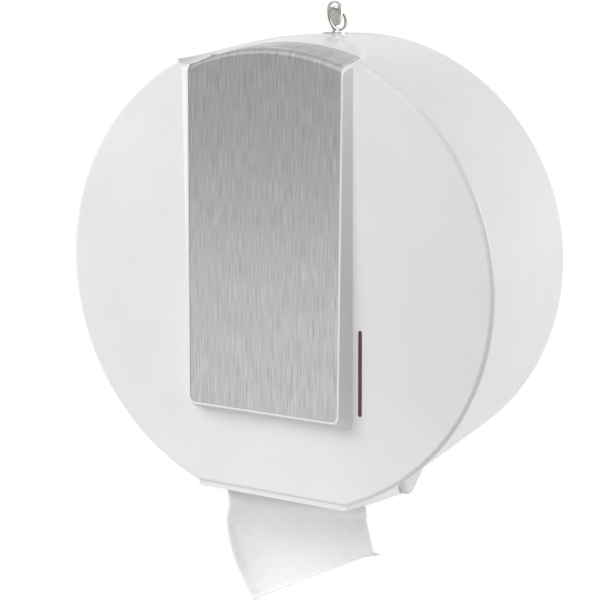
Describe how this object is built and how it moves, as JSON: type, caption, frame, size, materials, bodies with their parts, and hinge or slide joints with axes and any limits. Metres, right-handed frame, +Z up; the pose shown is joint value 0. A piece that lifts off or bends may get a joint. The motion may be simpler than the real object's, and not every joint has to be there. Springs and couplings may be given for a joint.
{
  "type": "jumbo toilet roll dispenser",
  "caption": "Wall dispenser for a jumbo toilet roll: hinged drum cover with steel inlay panel, level window, toothed tear bars, keyed lock and a tissue tail",
  "frame": {"origin": "on the wall plane, where the axis of the roll meets it", "axes": "+Z up, the front faces -Y, the back face and the wall's side face +Y, the roll turns about Y"},
  "size_m": [0.33, 0.149, 0.4275],
  "materials": {
    "white_cover": "gloss moulded ABS",
    "inlay_steel": "brushed upright",
    "smoked_window": "smoked, see-through",
    "tear_steel": "stamped",
    "base_plastic": "fine moulded",
    "axle_plastic": "moulded",
    "hub_plastic": "moulded",
    "zinc_screws": "zinc plated",
    "core_board": "wound board",
    "tissue": "soft tissue",
    "lock_metal": "plated zinc casting",
    "cam_steel": "zinc plated",
    "key_metal": "nickel plated brass"
  },
  "bodies": {
    "wall_side": {"back_plate": "base_plastic", "hinge_pins": "zinc_screws", "roll_axle": "axle_plastic", "axle_screws": "zinc_screws", "hub_retainer": "axle_plastic", "retainer_screw": "zinc_screws", "latch_keeper": "cam_steel", "keeper_screws": "zinc_screws", "paper_tail": "tissue"},
    "roll": {"roll_hub": "hub_plastic", "roll_core": "core_board", "paper_roll": "tissue"},
    "cover": {"front_cover": "white_cover", "panel_inlay": "inlay_steel", "level_window": "smoked_window", "tear_bar_right": "tear_steel", "tear_bar_left": "tear_steel", "lock_body": "lock_metal", "lock_nut": "lock_metal"},
    "turning_plug": {"lock_plug": "lock_metal", "lock_cam": "cam_steel", "cam_screw": "zinc_screws"},
    "key_in_lock": {"key": "key_metal"},
    "ring_on_key": {"key_ring": "key_metal"}
  },
  "joints": [
    {"name": "cover_hinge", "type": "hinge", "parent": "wall_side", "child": "cover", "pos_m": [0, -0.0375, -0.165], "axis": [1, 0, 0], "range_deg": [0, 82], "deforming": ["paper_tail"]},
    {"name": "roll_spin", "type": "hinge", "parent": "wall_side", "child": "roll", "pos_m": [0, -0.075, 0], "axis": [0, 1, 0], "continuous": true},
    {"name": "key_turn", "type": "hinge", "parent": "cover", "child": "turning_plug", "pos_m": [0, -0.036, 0.155], "axis": [0, 0, 1], "range_deg": [-90, 0]},
    {"name": "key_slide", "type": "slide", "parent": "turning_plug", "child": "key_in_lock", "axis": [0, 0, 1], "range_m": [0, 0.024]},
    {"name": "ring_swing", "type": "hinge", "parent": "key_in_lock", "child": "ring_on_key", "pos_m": [0, -0.036, 0.1833], "axis": [-0.2588, -0.9659, 0], "range_deg": [0, 326]}
  ]
}
